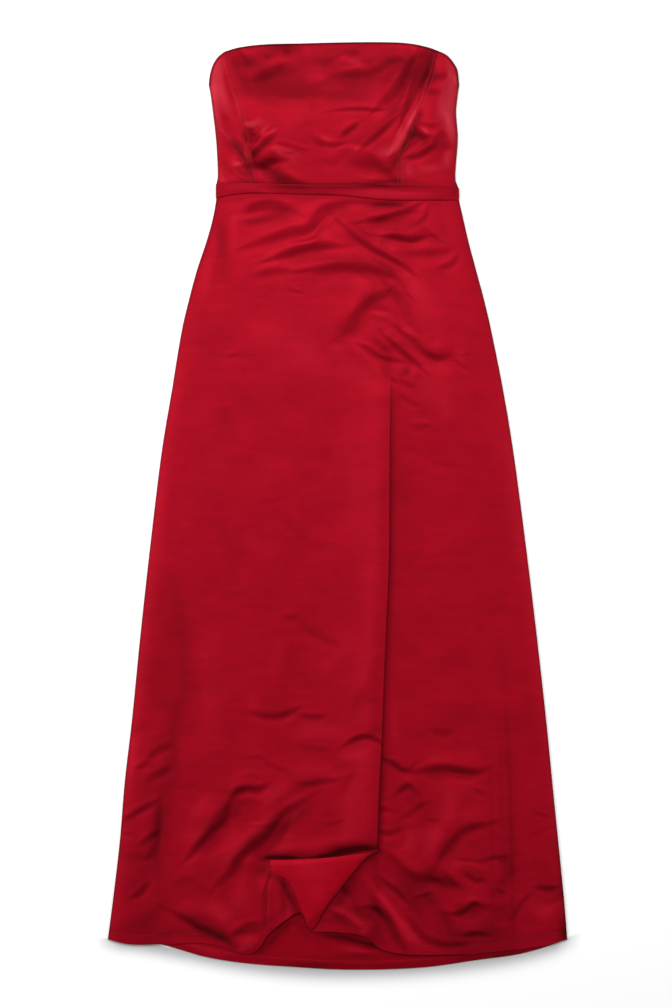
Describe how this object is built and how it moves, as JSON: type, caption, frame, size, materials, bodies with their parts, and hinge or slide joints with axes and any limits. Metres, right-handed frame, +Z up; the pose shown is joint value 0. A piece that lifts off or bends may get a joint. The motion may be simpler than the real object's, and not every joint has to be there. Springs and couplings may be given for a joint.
{
  "type": "strapless maxi dress",
  "caption": "Strapless full-length satin dress laid flat, with a boned bodice, a narrow waist band and a front slit whose lower corner is turned up.",
  "frame": {"origin": "bottom centre of the bounding box, on the surface the dress lies on", "axes": "+Y along the dress towards the neckline, +X to the viewer's right, +Z up out of the front"},
  "size_m": [0.6948, 1.4005, 0.0181],
  "materials": {
    "bodice_front_centre": "soft-sheen satin",
    "bodice_front_left": "soft-sheen satin",
    "bodice_front_right": "soft-sheen satin",
    "bodice_back_left": "soft-sheen satin",
    "bodice_back_right": "soft-sheen satin",
    "waist_sash_front": "soft-sheen satin",
    "waist_sash_back_left": "soft-sheen satin",
    "waist_sash_back_right": "soft-sheen satin",
    "skirt_front_left": "soft-sheen satin",
    "skirt_front_right": "soft-sheen satin",
    "slit_corner": "soft-sheen satin",
    "skirt_back_left": "soft-sheen satin",
    "skirt_back_right": "soft-sheen satin",
    "centre_back_zip": "matt woven tape"
  },
  "bodies": {
    "root": {"bodice_front_centre": "bodice_front_centre", "bodice_front_left": "bodice_front_left", "bodice_front_right": "bodice_front_right", "bodice_back_left": "bodice_back_left", "bodice_back_right": "bodice_back_right", "waist_sash_front": "waist_sash_front", "waist_sash_back_left": "waist_sash_back_left", "waist_sash_back_right": "waist_sash_back_right", "skirt_front_left": "skirt_front_left", "skirt_front_right": "skirt_front_right", "slit_corner": "slit_corner", "skirt_back_left": "skirt_back_left", "skirt_back_right": "skirt_back_right", "centre_back_zip": "centre_back_zip"}
  },
  "joints": []
}
